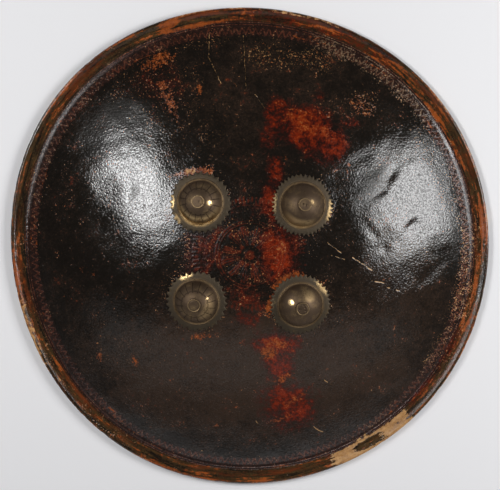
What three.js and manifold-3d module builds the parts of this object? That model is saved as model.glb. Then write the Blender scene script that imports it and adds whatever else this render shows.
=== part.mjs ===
// A dhal: a round shield of moulded hide with an upturned rim and four riveted brass bosses.
// Millimetres. It lies face up: +Z is the middle of the face, +Y its top edge, and z = 0 is what it lies on.
import * as THREE from 'three';
import { mergeVertices } from 'three/addons/utils/BufferGeometryUtils.js';
import Module from 'manifold-3d';

const wasm = await Module();
wasm.setup();

const radians = THREE.MathUtils.degToRad;

// Hide shell
const lipRadius = 255; // out to the edge of the lip
const rimWidth = 15; // from the bottom of the channel out to the lip
const hideThickness = 5.5;
const crownRise = 66; // from the bottom of the channel up to the middle of the face
const channelFillet = 13; // radius of the channel's bottom on the face side
const upturn = radians(17.5);
const restWidth = 4; // the flat ring under the channel, on which the shield lies
const wanderStart = 90; // the shell is out of round over this width, inwards from the channel
const lipWander = [
  { waves: 1, swell: 1.9, peak: radians(131) },
  { waves: 2, swell: 1.3, peak: radians(131) },
  { waves: 3, swell: 1.9, peak: radians(18) },
  { waves: 4, swell: 0.8, peak: radians(50) },
];

// Roundel in the middle of the face
const buttonRadius = 6.8;
const petalCount = 12;
const petalGroove = 2.2; // between the button and the petals
const petalLength = 21.5;
const ringGroove = 1; // between the petals and the ring
const ringWidth = 4.8;
const roundelRelief = 0.9;
const roundelBevel = 0.8;
const roundelGround = 0.15; // the sunk parts of the roundel stand this far above the hide around it
const roundelRoot = 1.5; // how deep its solid goes into the hide

// Bosses, each with the angle of its place on the face, counter-clockwise from +X
const bossPlaces = [
  { name: 'top_right', angle: radians(43.2), teeth: 44 },
  { name: 'top_left', angle: radians(133.7), teeth: 32 },
  { name: 'bottom_left', angle: radians(221.6), teeth: 32 },
  { name: 'bottom_right', angle: radians(314.7), teeth: 40 },
];
const bossClearance = 4.4; // between a flange and the roundel
const sheet = 1.4; // brass sheet of the bosses
const domeRadius = 22.4;
const domeRise = 15; // from the flange up to the flat top
const beadWidth = 2.4; // the bead around the foot of the dome
const beadHeight = 0.9;
const flangeWidth = 7.7; // from the bead out to the points of the teeth
const toothDepth = 2.8;

// Rivets and washers
const headRadius = 7;
const headHeight = 1.6;
const headBevel = 0.5;
const shankRadius = 3;
const tailSpread = 2; // how far the peened tail stands out from the shank
const tailHeight = 2.2;
const washerMargin = 5; // from the tail out to the washer's edge
const washerThickness = 1.5;

// Clearances
const contactGap = 0.3; // between faces that touch
const shankFit = 0.3; // around the shank in its holes
const seatMargin = 0.4; // flat brass around the rivet's head

// Facets
const shellSegments = 48;
const segmentsPerPetal = 6;
const domeSegments = 18;
const rivetSegments = 12;

// Sizes worked out from the ones above
const channelRadius = lipRadius - rimWidth;
const frontRadius = (channelRadius ** 2 + crownRise ** 2) / (2 * crownRise) - channelFillet;
const backRadius = frontRadius - hideThickness;
const crownHeight = hideThickness + crownRise;
const sphereHeight = crownHeight - frontRadius;
const domeEdge = Math.asin(channelRadius / (frontRadius + channelFillet));
const petalInner = buttonRadius + petalGroove;
const petalOuter = petalInner + petalLength;
const ringInner = petalOuter + ringGroove;
const ringOuter = ringInner + ringWidth;
const roundelRadius = ringOuter + roundelBevel;
const flangeRadius = domeRadius + beadWidth + flangeWidth;
const bossCircle = roundelRadius + bossClearance + flangeRadius;
const bossTilt = Math.asin(bossCircle / frontRadius);
const tailRadius = shankRadius + tailSpread;
const washerRadius = tailRadius + washerMargin;
const holeRadius = shankRadius + shankFit;

const spread = (from, to, steps) =>
  Array.from({ length: steps + 1 }, (_, k) => from + ((to - from) * k) / steps);

const sag = (radius, out) => radius - Math.sqrt(radius ** 2 - out ** 2);

const frontHeight = (out) => crownHeight - sag(frontRadius, out);

// A profile of [radius, height] pairs goes up on the outside and is turned around Z.
function turned(profile, segments) {
  const points = profile.map(([out, up]) => new THREE.Vector2(out, up));
  return new THREE.LatheGeometry(points, segments).rotateX(Math.PI / 2);
}

// Moves every vertex of a geometry by a function of its distance from Z, its angle and its height.
function shaped(geometry, move) {
  const place = geometry.getAttribute('position');
  for (let k = 0; k < place.count; k += 1) {
    const out = Math.hypot(place.getX(k), place.getY(k));
    const angle = Math.atan2(place.getY(k), place.getX(k));
    const [newOut, newUp] = move(out, angle, place.getZ(k));
    place.setXYZ(k, newOut * Math.cos(angle), newOut * Math.sin(angle), newUp);
  }
  return geometry;
}

function toSolid(geometry) {
  const bare = new THREE.BufferGeometry();
  bare.setAttribute('position', geometry.getAttribute('position'));
  bare.setIndex(geometry.getIndex());
  const merged = mergeVertices(bare, 1e-4);
  const corners = merged.getIndex().array;
  const faces = [];
  for (let k = 0; k < corners.length; k += 3) {
    const [a, b, c] = corners.slice(k, k + 3);
    if (a !== b && b !== c && c !== a) faces.push(a, b, c);
  }
  return new wasm.Manifold(new wasm.Mesh({
    numProp: 3,
    vertProperties: new Float32Array(merged.getAttribute('position').array),
    triVerts: new Uint32Array(faces),
  }));
}

function toGeometry(solid) {
  const { vertProperties, triVerts } = solid.getMesh();
  const geometry = new THREE.BufferGeometry();
  geometry.setAttribute('position', new THREE.BufferAttribute(vertProperties, 3));
  geometry.setIndex(new THREE.BufferAttribute(triVerts, 1));
  geometry.computeVertexNormals();
  return geometry;
}

// A group on the face whose origin is where a boss sits and whose +Z stands off the hide.
function bossSeat(angle) {
  const seat = new THREE.Group();
  seat.rotation.set(0, bossTilt, angle, 'ZYX');
  seat.position.set(0, 0, frontRadius).applyEuler(seat.rotation);
  seat.position.z += sphereHeight;
  seat.updateMatrix();
  return seat;
}

// Hide: the dome, the concave channel and the upturned lip, as deep as depth below the face
const domeArc = (depth, angles) =>
  angles.map((a) => [
    (frontRadius - depth) * Math.sin(a),
    sphereHeight + (frontRadius - depth) * Math.cos(a),
  ]);

const channelArc = (depth, angles) =>
  angles.map((a) => [
    channelRadius - (channelFillet + depth) * Math.sin(a),
    hideThickness + channelFillet - (channelFillet + depth) * Math.cos(a),
  ]);

function lipArc() {
  const round = hideThickness / 2;
  const [[startOut, startUp]] = channelArc(round, [-upturn]);
  const middleOut = lipRadius - round;
  const middleUp = startUp + (middleOut - startOut) * Math.tan(upturn);
  return spread(upturn - Math.PI / 2, upturn + Math.PI / 2, 4)
    .map((a) => [middleOut + round * Math.cos(a), middleUp + round * Math.sin(a)]);
}

// The inside has a ring of facets as wide as the washers, so that the washers lie close to it.
function shellProfile() {
  const restAngle = Math.asin(restWidth / 2 / (channelFillet + hideThickness));
  const washerAngle = Math.asin(washerRadius / backRadius);
  return [
    ...domeArc(hideThickness, spread(0, bossTilt - washerAngle, 2)),
    ...domeArc(hideThickness, spread(bossTilt + washerAngle, domeEdge, 4)),
    ...channelArc(hideThickness, spread(domeEdge, restAngle, 2).slice(1, -1)),
    [channelRadius - restWidth / 2, 0],
    [channelRadius + restWidth / 2, 0],
    ...channelArc(hideThickness, [-upturn]),
    ...lipArc(),
    ...channelArc(0, spread(-upturn, domeEdge, 4)),
    ...domeArc(0, spread(domeEdge, 0, 6)).slice(1),
  ];
}

// How far the shell stands out of its round at an angle, and how much of that a radius takes
const wanderAt = (angle) =>
  lipWander.reduce((sum, w) => sum + w.swell * Math.cos(w.waves * (angle - w.peak)), 0);

const wanderShare = (out) =>
  THREE.MathUtils.smoothstep(out, channelRadius - wanderStart, channelRadius);

function shellSolid() {
  const shell = turned(shellProfile(), shellSegments);
  return toSolid(shaped(shell, (out, angle, up) => [out + wanderShare(out) * wanderAt(angle), up]));
}

// Height of the roundel's carving: a button, a wreath of petals and a ring
function carving(out, angle) {
  if (out < buttonRadius + 0.01) return roundelRelief * (1 - 0.25 * (out / buttonRadius) ** 2);
  if (out > ringInner && out < ringOuter) return roundelRelief;
  if (out < petalInner || out > petalOuter) return 0;
  const along = (out - petalInner) / petalLength;
  const across = 2 * Math.abs(((angle * petalCount) / (2 * Math.PI) + petalCount) % 1 - 0.5);
  const width = Math.sqrt(Math.sin(Math.PI * Math.min(along, 0.98) ** 0.75));
  return roundelRelief * width * Math.max(0, 1 - across ** 2);
}

function roundelSolid() {
  const inset = roundelBevel / 2;
  const tops = [
    0, buttonRadius, buttonRadius + inset, petalInner, ...spread(petalInner, petalOuter, 4).slice(1),
    ringInner - inset, ringInner + inset, ringOuter - inset, ringOuter + inset,
  ];
  const profile = [
    [0, frontHeight(0) - roundelRoot],
    [roundelRadius, frontHeight(roundelRadius) - roundelRoot],
    ...tops.reverse().map((out) => [out, frontHeight(out) + roundelGround]),
  ];
  const disc = turned(profile, petalCount * segmentsPerPetal);
  const isTop = (out, up) => up > frontHeight(out);
  return toSolid(shaped(disc, (out, angle, up) => [
    out, isTop(out, up) ? up + carving(out, angle) : up,
  ]));
}

function shankHole(angle) {
  const length = 6 * hideThickness;
  const drill = new THREE.CylinderGeometry(holeRadius, holeRadius, length, rivetSegments);
  return toSolid(drill.rotateX(Math.PI / 2).applyMatrix4(bossSeat(angle).matrix));
}

function hideGeometry() {
  const whole = shellSolid().add(roundelSolid());
  return toGeometry(bossPlaces.reduce((solid, place) => solid.subtract(shankHole(place.angle)), whole));
}

// Boss: heights are above the hide under its middle, and bent() lays it on the hide's curve.
const flangeTop = contactGap + sheet;
const seatTop = flangeTop + domeRise;

const bent = (geometry) => shaped(geometry, (out, angle, up) => [out, up - sag(frontRadius, out)]);

// The dome is an arc around a point on the axis, from its foot up to the flat seat of the rivet's head.
function domeSide(depth) {
  const seatRadius = headRadius + seatMargin;
  const below = (domeRadius ** 2 - seatRadius ** 2 - domeRise ** 2) / (2 * domeRise);
  const radius = Math.hypot(domeRadius, below);
  const foot = Math.atan2(domeRadius, below);
  const seat = Math.atan2(seatRadius, below + domeRise);
  return spread(foot, seat, 3).map((a) => [
    (radius - depth) * Math.sin(a),
    flangeTop - below + (radius - depth) * Math.cos(a),
  ]);
}

function domeSolid() {
  const outside = domeSide(0);
  const inside = domeSide(sheet).slice(1).reverse();
  const foot = contactGap + sheet / 3;
  return toSolid(bent(turned([
    [domeRadius - sheet, foot],
    [domeRadius + beadWidth, foot],
    [domeRadius + beadWidth, flangeTop + beadHeight / 3],
    [domeRadius + beadWidth * 0.45, flangeTop + beadHeight],
    ...outside,
    [holeRadius, seatTop],
    [holeRadius, seatTop - sheet],
    ...inside,
    [domeRadius - sheet, foot],
  ], domeSegments)));
}

function flangeSolid(teeth) {
  const outline = new THREE.Shape(spread(0, 2 * teeth, 2 * teeth).slice(1).map((k) => {
    const out = flangeRadius - (k % 2) * toothDepth;
    return new THREE.Vector2(out, 0).rotateAround(new THREE.Vector2(), (Math.PI * k) / teeth);
  }));
  const opening = new THREE.Path();
  opening.absarc(0, 0, domeRadius - sheet / 3, 0, 2 * Math.PI, true);
  outline.holes.push(opening);
  const plate = new THREE.ExtrudeGeometry(outline, {
    depth: sheet, bevelEnabled: false, curveSegments: domeSegments,
  });
  return toSolid(bent(plate.translate(0, 0, contactGap)));
}

const bossGeometry = (teeth) => toGeometry(domeSolid().add(flangeSolid(teeth)));

// Rivet and washer
const washerTop = -hideThickness - sag(backRadius, washerRadius) - contactGap;
const washerBottom = washerTop - washerThickness;

function rivetGeometry() {
  const headBase = seatTop + contactGap;
  const tailTop = washerBottom - contactGap;
  return turned([
    [0, tailTop - tailHeight],
    [tailRadius * 0.6, tailTop - tailHeight * 0.85],
    [tailRadius, tailTop - tailHeight * 0.3],
    [tailRadius, tailTop],
    [shankRadius, tailTop],
    [shankRadius, headBase],
    [headRadius, headBase],
    [headRadius, headBase + headHeight - headBevel],
    [headRadius - headBevel, headBase + headHeight],
    [0, headBase + headHeight],
  ], rivetSegments);
}

const washerGeometry = () => turned([
  [holeRadius, washerBottom],
  [washerRadius, washerBottom],
  [washerRadius, washerTop],
  [holeRadius, washerTop],
  [holeRadius, washerBottom],
], rivetSegments);

const materials = {
  hide: new THREE.MeshStandardMaterial({ color: '#2a201c', roughness: 0.35, metalness: 0 }),
  boss: new THREE.MeshStandardMaterial({ color: '#8a7a50', roughness: 0.4, metalness: 1 }),
  rivet: new THREE.MeshStandardMaterial({ color: '#7d6c45', roughness: 0.45, metalness: 1 }),
  washer: new THREE.MeshStandardMaterial({ color: '#6e6248', roughness: 0.55, metalness: 1 }),
};

function named(name, geometry, material) {
  const mesh = new THREE.Mesh(geometry, material.clone());
  mesh.name = name;
  return mesh;
}

const shield = new THREE.Group();
shield.add(named('hide_shell', hideGeometry(), materials.hide));
for (const { name, angle, teeth } of bossPlaces) {
  const seat = bossSeat(angle);
  seat.add(named(`boss_${name}`, bossGeometry(teeth), materials.boss));
  seat.add(named(`rivet_${name}`, rivetGeometry(), materials.rivet));
  seat.add(named(`washer_${name}`, washerGeometry(), materials.washer));
  shield.add(seat);
}

export default shield;
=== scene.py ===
"""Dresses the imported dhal, a round hide shield: worn lacquer, tooled borders, brass bosses and rivets."""
import math

import bpy
import numpy as np
from bpy.props import FloatProperty, FloatVectorProperty, IntProperty, PointerProperty
from mathutils import Euler, Matrix, Vector


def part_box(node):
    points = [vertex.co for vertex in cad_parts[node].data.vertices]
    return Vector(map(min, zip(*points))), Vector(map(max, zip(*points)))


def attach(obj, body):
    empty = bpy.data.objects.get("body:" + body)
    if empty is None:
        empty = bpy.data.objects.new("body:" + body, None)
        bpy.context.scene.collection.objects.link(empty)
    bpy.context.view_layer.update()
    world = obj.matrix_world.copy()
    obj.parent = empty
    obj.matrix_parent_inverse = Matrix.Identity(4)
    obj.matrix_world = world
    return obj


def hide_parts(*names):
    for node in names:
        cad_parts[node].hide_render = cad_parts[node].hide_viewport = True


bl_info = {
    "name": "Dhal shield",
    "version": (1, 0, 0),
    "blender": (4, 5, 0),
    "location": "View3D > Sidebar > Dhal",
    "description": "Dresses the frame of a worn lacquered hide shield with brass bosses",
    "category": "Object",
}

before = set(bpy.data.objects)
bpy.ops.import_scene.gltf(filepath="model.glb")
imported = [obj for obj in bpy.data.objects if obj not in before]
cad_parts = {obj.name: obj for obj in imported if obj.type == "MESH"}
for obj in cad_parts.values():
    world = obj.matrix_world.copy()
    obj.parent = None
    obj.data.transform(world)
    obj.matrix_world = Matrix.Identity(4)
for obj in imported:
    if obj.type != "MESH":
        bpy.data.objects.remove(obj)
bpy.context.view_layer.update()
MM = 0.001
TURN = 2 * math.pi
CORNERS = ("top_right", "top_left", "bottom_left", "bottom_right")


def linear(code):
    """Turns an sRGB hex colour into linear red, green, blue and alpha."""
    parts = [int(code[k:k + 2], 16) / 255 for k in (1, 3, 5)]
    return tuple(c / 12.92 if c <= 0.04045 else ((c + 0.055) / 1.055) ** 2.4 for c in parts) + (1.0,)


def length(name, description, millimetres):
    return FloatProperty(name=name, description=description, default=millimetres * MM, unit="LENGTH")


def angle(name, description, degrees):
    return FloatProperty(name=name, description=description, default=math.radians(degrees), subtype="ANGLE")


def colour(name, description, code):
    value = linear(code)
    return FloatVectorProperty(name=name, description=description, default=value, size=4, subtype="COLOR")


def number(name, description, value):
    return FloatProperty(name=name, description=description, default=value)


def whole(name, description, value):
    return IntProperty(name=name, description=description, default=value)


class HideSizes(bpy.types.PropertyGroup):
    """Sizes of the moulded hide, as the frame has them"""
    lip_radius: length("Lip radius", "From the middle out to the edge of the lip", 255)
    rim_width: length("Rim width", "From the bottom of the channel out to the lip", 15)
    thickness: length("Thickness", "Thickness of the hide", 5.5)
    crown_rise: length("Crown rise", "From the bottom of the channel up to the middle of the face", 66)
    channel_fillet: length("Channel fillet", "Radius of the channel's bottom on the face side", 13)
    upturn: angle("Upturn", "Slope of the upturned rim", 17.5)
    hollow: length("Hollow", "How far the face of the upturned rim sinks in its middle", 0.5)
    rest_width: length("Rest width", "Width of the flat ring under the channel", 4)
    wander_width: length("Wander width", "Width, inside the channel, that goes out of round", 90)
    steps: whole("Steps", "Facets around the shell", 432)


class RoundelSizes(bpy.types.PropertyGroup):
    """Sizes of the tooled roundel in the middle of the face"""
    button: length("Button radius", "Radius of the button in the middle", 6.8)
    petals: whole("Petals", "Petals in the wreath", 12)
    petal_start: length("Petal start", "Radius at which the petals start", 9)
    petal_end: length("Petal end", "Radius at which the petals end", 30.2)
    ring: length("Ring radius", "Radius of the middle of the raised ring", 33.9)
    ring_width: length("Ring width", "Width of the raised ring", 4.8)
    bud: length("Bud radius", "Radius of the circle of buds", 43.5)
    outer_ring: length("Outer ring radius", "Radius of the thin ring around the buds", 51.2)
    fringe: length("Fringe radius", "Radius at which the fringe of leaves ends", 60)
    leaves: whole("Leaves", "Leaves in the fringe", 84)
    relief: length("Relief", "Height of the petals and the ring", 0.38)
    shallow: length("Shallow relief", "Height of the buds, the outer ring and the fringe", 0.18)


class BossSizes(bpy.types.PropertyGroup):
    """Sizes of the brass bosses, their rivets and washers"""
    sheet: length("Sheet", "Thickness of the brass sheet", 1.4)
    dome: length("Dome radius", "Radius of the dome at its foot", 22.4)
    rise: length("Dome rise", "From the flange up to the flat top", 15)
    bead: length("Bead width", "Width of the fine beads around the dome, all together", 2.4)
    bead_height: length("Bead height", "Height of the beads", 0.35)
    flange: length("Flange width", "From the beads out to the points of the teeth", 7.7)
    tooth: length("Tooth depth", "Depth of the cuts between the teeth", 2.8)
    droop: length("Droop", "How far the top of the flange is hammered down at its edge", 1.0)
    head: length("Head radius", "Radius of the rivet's head", 7)
    head_height: length("Head height", "Height of the rivet's head", 1.6)
    shank: length("Shank radius", "Radius of the rivet's shank", 3)
    tail: length("Tail radius", "Radius of the peened tail", 5)
    tail_height: length("Tail height", "Height of the peened tail", 2.2)
    washer: length("Washer radius", "Radius of the washer inside", 10)
    washer_thickness: length("Washer thickness", "Thickness of the washer", 1.5)
    gap: length("Gap", "Gap between faces that touch in the frame", 0.3)


class HideColours(bpy.types.PropertyGroup):
    """Colours of the lacquered hide"""
    lacquer: colour("Lacquer", "Black lacquer where it is whole", "#15110d")
    lacquer_brown: colour("Thin lacquer", "Lacquer where it is thin and brown", "#35281f")
    red: colour("Red coat", "Deep red coat under the lacquer", "#3c0f08")
    red_light: colour("Light red coat", "Red coat where it is rubbed", "#84290b")
    orange: colour("Orange", "Stained hide on the rim", "#93491a")
    rusty: colour("Rusty orange", "Stained hide on the face", "#8c4416")
    fleck: colour("Fleck", "Small chips in the lacquer", "#8f5028")
    orange_deep: colour("Deep orange", "Stained hide with lacquer left in its pores", "#50230f")
    tan: colour("Bare hide", "Bare hide", "#c0945e")
    tan_deep: colour("Stained bare hide", "Bare hide with dirt in it", "#8e6234")
    dust: colour("Dust", "Pale dust and wear in the border's tooling", "#6a5a46")
    band: colour("Rim band", "Thin olive brown lacquer of the upturned rim", "#4d3a20")
    rust: colour("Rust brown", "Red brown streaks of the upturned rim", "#6c3216")
    tooled: colour("Tooled border", "Brown of the tooled border between its strokes", "#2d1b16")
    border: colour("Border strokes", "Rubbed strokes of the tooled border", "#5a3022")
    stroke: colour("Tooling", "Red brown of the rubbed tooling", "#511e10")
    inside: colour("Inside", "Dull brown inside of the hide", "#2e2019")
    inside_light: colour("Light inside", "Inside of the hide where it is rubbed", "#4a3526")


class BrassColours(bpy.types.PropertyGroup):
    """Colours of the brass"""
    # Also the colour of the painted highlights at the bosses' glint spots
    bright: colour("Bright brass", "Brass where it is rubbed", "#bfa274")
    aged: colour("Aged brass", "Brass under its patina", "#5f4f40")
    dark: colour("Patina", "Dark patina in the grooves", "#2a221c")
    green: colour("Olive patina", "Olive patina of the flanges", "#51483c")


class StudioSettings(bpy.types.PropertyGroup):
    """Camera, floor and lights"""
    tilt: angle("Camera tilt", "How far the camera leans from straight above, to the top edge", 5.69)
    distance: length("Camera distance", "From the lens to the rim", 2000)
    aim: length("Camera aim", "How far towards the top edge the camera aims", 3.84)
    lens: number("Lens", "Focal length in millimetres", 135.7)
    floor: colour("Floor", "Pale floor", "#ededef")
    left: number("Left softbox", "Radiance of the left softbox", 16.5)
    right: number("Right softbox", "Radiance of the right softbox", 10.5)
    fill: number("Fill softbox", "Radiance of the dim softbox on the left", 1.4)
    front: number("Front panel", "Radiance of the dim panel in front", 0.26)
    sky: number("Room light", "Strength of the room's light", 1.0)


# Wear marks of each kind: x and y on the face, half length, half width in mm, turn in degrees, strength
WEAR = {
    "red": (
        (32, 138, 20, 26, 20, 0.75), (60, 128, 36, 24, -24, 0.95), (84, 112, 18, 20, -20, 0.85),
        (70, 104, 16, 14, 0, 0.55), (18, 118, 12, 16, 0, 0.5), (72, 162, 8, 8, 0, 0.45),
        (104, 133, 16, 6, 5, 0.5), (26, 84, 10, 20, 0, 0.7), (21, 54, 11, 24, 8, 0.8),
        (30, 2, 25, 32, 10, 1.0), (34, -22, 20, 12, 20, 0.8), (-4, -66, 16, 12, 0, 0.6),
        (28, -94, 28, 15, 0, 0.9), (30, -118, 18, 22, 20, 0.85), (42, -164, 34, 30, 0, 0.8),
        (-46, 0, 26, 40, 0, 0.55), (0, -42, 34, 20, 0, 0.5), (0, 44, 30, 12, 0, 0.4),
        (0, 0, 52, 52, 0, 0.3), (-94, 172, 34, 34, 20, 0.42),
    ),
    "orange": (
        (60, 132, 36, 16, -24, 0.42), (36, 8, 14, 14, 0, 0.5), (24, 24, 6, 8, 0, 0.36),
        (40, -28, 18, 9, 20, 1.2), (22, -50, 5, 14, -15, 0.95), (19, -103, 10, 8, 0, 0.8),
        (26, -94, 18, 7, -10, 0.55), (34, -132, 14, 5, 15, 0.55), (48, -156, 18, 5, 30, 0.55),
        (32, -178, 14, 5, 20, 0.55), (-98, 194, 24, 9, 20, 0.6), (-84, 158, 8, 28, 22, 0.58),
        (-52, 168, 4, 7, 0, 0.45), (101, 91, 4, 4, 0, 0.55), (36, 100, 4, 3, 0, 0.5),
        (-176, -19, 3, 3, 0, 0.5), (-164, -23, 3, 3, 0, 0.45), (-121, -114, 3, 14, 20, 0.45),
        (-160, -115, 4, 7, 0, 0.42), (-196, -53, 3, 5, 0, 0.42), (-113, -81, 3, 3, 0, 0.42),
        (-34, -184, 8, 3, 30, 0.42), (-70, 78, 26, 4, -10, 0.45), (62, -36, 20, 4, 25, 0.4),
        (115, 152, 16, 10, -30, 0.4), (-58, 84, 20, 5, 8, 0.9), (-50, -86, 18, 4, 5, 0.5),
    ),
    "dust": (
        (-44, -16, 18, 24, 0, 0.3),
    ),
    "tan": (
        (-53, -192, 3, 2, 0, 0.5), (-51, -216, 3, 3, 0, 0.5), (-62, 85, 16, 4, 12, 0.46),
    ),
    "thin": (
        (10, -128, 190, 75, 0, 0.5), (10, 170, 110, 60, 0, 0.12), (150, -60, 70, 90, 0, 0.24),
    ),
    "fleck": (
        (23, 204, 44, 14, 0, 0.6), (68, 201, 26, 14, -20, 0.6), (118, 155, 20, 14, -30, 0.5),
        (95, 150, 40, 20, -30, 0.2), (-95, 175, 60, 44, 0, 0.4), (-60, 120, 50, 60, 0, 0.3),
        (-50, 10, 40, 50, 0, 0.4), (0, 0, 66, 66, 0, 0.42), (-180, 60, 40, 60, 0, 0.12),
        (-140, -90, 70, 60, 0, 0.12), (-51, 53, 42, 42, 0, 0.5), (54, 51, 40, 40, 0, 0.5),
        (-55, -49, 40, 40, 0, 0.5), (52, -53, 40, 40, 0, 0.5),
    ),
    "dull": (
        (-120, 62, 4, 12, -14, 0.4), (130, 72, 26, 12, 60, 0.4), (0, 0, 66, 66, 0, 0.9),
    ),
}

# Worn stretches of the rim: first and last angle in degrees, inner and outer radius in mm, strength
RIM_WEAR = {
    "orange": (
        (94, 112, 238, 243, 0.75), (88, 98, 243, 256, 0.5), (96, 112, 250, 256, 0.6),
        (106, 113, 238, 256, 0.85), (113, 141, 251, 256, 0.5), (160, 180, 250, 256, 0.42),
        (175, 191, 240, 256, 0.56), (192, 240, 248, 256, 0.44), (240, 262, 247, 256, 0.56),
        (262, 276, 250, 256, 0.5), (338, 356, 240, 256, 0.42), (362, 372, 240, 256, 0.6),
        (20, 60, 238, 243, 0.5), (31, 58, 241, 250, 0.46),
    ),
    "tan": (
        (192, 222, 248, 256, 0.42), (291, 314, 240, 256, 0.82), (296, 306, 234, 240, 0.42),
        (342, 360, 226, 240, 0.22), (60, 90, 251, 256, 0.44),
    ),
    "red": (
        (50, 100, 240, 256, 0.55), (314, 340, 236, 244, 0.6),
    ),
    "kept": (
        (97, 107, 244, 250, 0.9), (298, 305, 243, 250, 1.0),
    ),
    "dust": (
        (34, 74, 222, 238, 0.4), (130, 168, 224, 238, 0.2), (290, 345, 224, 236, 0.2),
    ),
    "fleck": (
        (340, 368, 224, 241, 0.75), (34, 80, 220, 240, 0.3), (10, 40, 205, 240, 0.35),
        (80, 130, 216, 240, 0.3), (130, 190, 224, 240, 0.3), (175, 240, 238, 256, 0.4),
        (325, 370, 220, 246, 0.5), (190, 325, 224, 240, 0.2),
    ),
    "dull": (
        (108, 172, 228, 243, 0.6), (312, 346, 243, 256, 0.6), (346, 384, 234, 243, 0.5),
        (186, 225, 247, 256, 0.4),
    ),
}

# Scratches through the lacquer: the two ends in millimetres, and the width
SCRATCHES = (
    (-43, 227, -43, 202, 0.45), (-43, 202, -30, 175, 0.7), (-7, 225, -4, 170, 0.35), (5, 164, 15, 150, 0.5),
    (80, 12, 94, 1, 0.7), (84, -1, 98, -6, 0.5), (106, -4, 127, -18, 1.1), (127, -29, 140, -32, 1.1),
    (143, -37, 157, -41, 0.8), (65, -187, 78, -196, 0.8), (78, -135, 87, -142, 0.7),
    (5, -179, 9, -184, 0.8),
)

# Dents: x and y in millimetres, half length, half width, turn in degrees, depth
DENTS = (
    (146, 79, 14, 6, 58, 0.95), (134, 62, 13, 5, 30, 0.7), (170, 28, 12, 5, 45, 1.1),
    (176, 36, 7, 9, 42, -0.6), (138, 159, 12, 8, -10, -0.6), (140, 3, 5, 5, 0, 0.4),
    (128, 20, 9, 5, -50, 0.4), (190, -24, 20, 8, 40, 0.3), (205, 66, 8, 14, 10, 0.25),
    (118, 30, 8, 12, 20, 0.2), (150, 24, 8, 8, 0, -0.25), (160, 8, 9, 10, 0, 0.3),
    (120, 100, 14, 8, 30, 0.4), (-119, 62, 5, 16, -14, 0.35), (-95, 38, 30, 9, -30, 0.15),
    (-150, 70, 14, 30, 20, 0.12),
)

# How far the hide goes out of round: waves to the round, swell in mm, and a peak's angle in degrees
WANDER = ((1, 1.9, 131), (2, 1.3, 131), (3, 1.9, 18), (4, 0.8, 50))

# Slow swells of the face: height in mm, wavelength in metres, seed and number of waves
SWELLS = ((0.2, 0.11, 5, 9), (0.09, 0.04, 8, 14), (0.03, 0.017, 9, 16))

# Distances from the middle of the shield
ROUNDEL_END = 62 * MM
SWELLS_START, SWELLS_FULL = 58 * MM, 90 * MM
SWELLS_FADE, SWELLS_END = 212 * MM, 232 * MM
RIM_START, RIM_FULL = 217 * MM, 226 * MM
BORDER_START, BORDER_FULL = 222 * MM, 228 * MM
BORDER_FADE, BORDER_END = 238 * MM, 242 * MM
ZIGZAG_START, ZIGZAG_END = 226.5 * MM, 233.5 * MM
BORDER_LINES = (237.0 * MM, 239.4 * MM)

ZIGZAGS = 204
LINE_HALF_WIDTH = 0.4 * MM
FLANGE_REACH, FLANGE_CLEAR = 30 * MM, 36 * MM
LIP_FADE = 4 * MM
LIP_INSET = 0.35 * MM
BUD_HALF_LENGTH, BUD_HALF_WIDTH = 4.6 * MM, 2.6 * MM
DOT_OFF, DOT_RADIUS = 4.8 * MM, 1.7 * MM
CROSS_OFF, CROSS_REACH, CROSS_HALF_WIDTH, CROSS_SLANT = 9 * MM, 5 * MM, 1.2 * MM, 0.6
OUTER_RING_HALF_WIDTH = 1.3 * MM
LEAF_HALF_WIDTH = 1.7 * MM
LIGHT_DISTANCE = 1.6
LIP_HEIGHT = 8.5 * MM
FLOOR_SIZE = 9
SENSOR_WIDTH = 36

# Shapes and steps that the pieces share
def front_radius(hide):
    channel = hide.lip_radius - hide.rim_width
    return (channel ** 2 + hide.crown_rise ** 2) / (2 * hide.crown_rise) - hide.channel_fillet


def sphere_height(hide):
    return hide.thickness + hide.crown_rise - front_radius(hide)


def sag(radius, out):
    return radius - np.sqrt(radius ** 2 - out ** 2)


def stepped(start, end, step):
    """Evenly spaced values from start up to end, no further apart than step, without the end."""
    count = max(1, math.ceil(abs(end - start) / step))
    return [start + (end - start) * k / count for k in range(count)]


def deselect():
    if bpy.context.mode != "OBJECT":
        bpy.ops.object.mode_set(mode="OBJECT")
    bpy.ops.object.select_all(action="DESELECT")


def spun(name, profile, steps):
    """Draws a profile of (radius, height) pairs by extruding one corner along it, and spins it round Z."""
    deselect()
    bpy.ops.mesh.primitive_plane_add(size=1 * MM, location=(0, 0, 0))
    piece = bpy.context.object
    piece.name = name
    bpy.ops.object.mode_set(mode="EDIT")
    bpy.ops.mesh.merge(type="CENTER")
    bpy.ops.transform.translate(value=(profile[0][0], 0, profile[0][1]))
    for (out, up), (next_out, next_up) in zip(profile, profile[1:]):
        bpy.ops.mesh.extrude_region_move(TRANSFORM_OT_translate={"value": (next_out - out, 0, next_up - up)})
    bpy.ops.mesh.select_all(action="SELECT")
    bpy.ops.mesh.spin(steps=steps, angle=TURN, center=(0, 0, 0), axis=(0, 0, 1))
    bpy.ops.mesh.select_all(action="SELECT")
    bpy.ops.mesh.remove_doubles(threshold=0.001 * MM)
    bpy.ops.mesh.normals_make_consistent(inside=False)
    bpy.ops.object.mode_set(mode="OBJECT")
    bpy.ops.object.shade_smooth()
    return piece


def points_of(piece):
    places = np.empty(len(piece.data.vertices) * 3)
    piece.data.vertices.foreach_get("co", places)
    return places.reshape(-1, 3)


def normals_of(piece):
    normals = np.empty(len(piece.data.vertices) * 3)
    piece.data.vertex_normals.foreach_get("vector", normals)
    return normals.reshape(-1, 3)


def move_points(piece, places):
    piece.data.vertices.foreach_set("co", places.ravel())
    piece.data.update()


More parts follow.
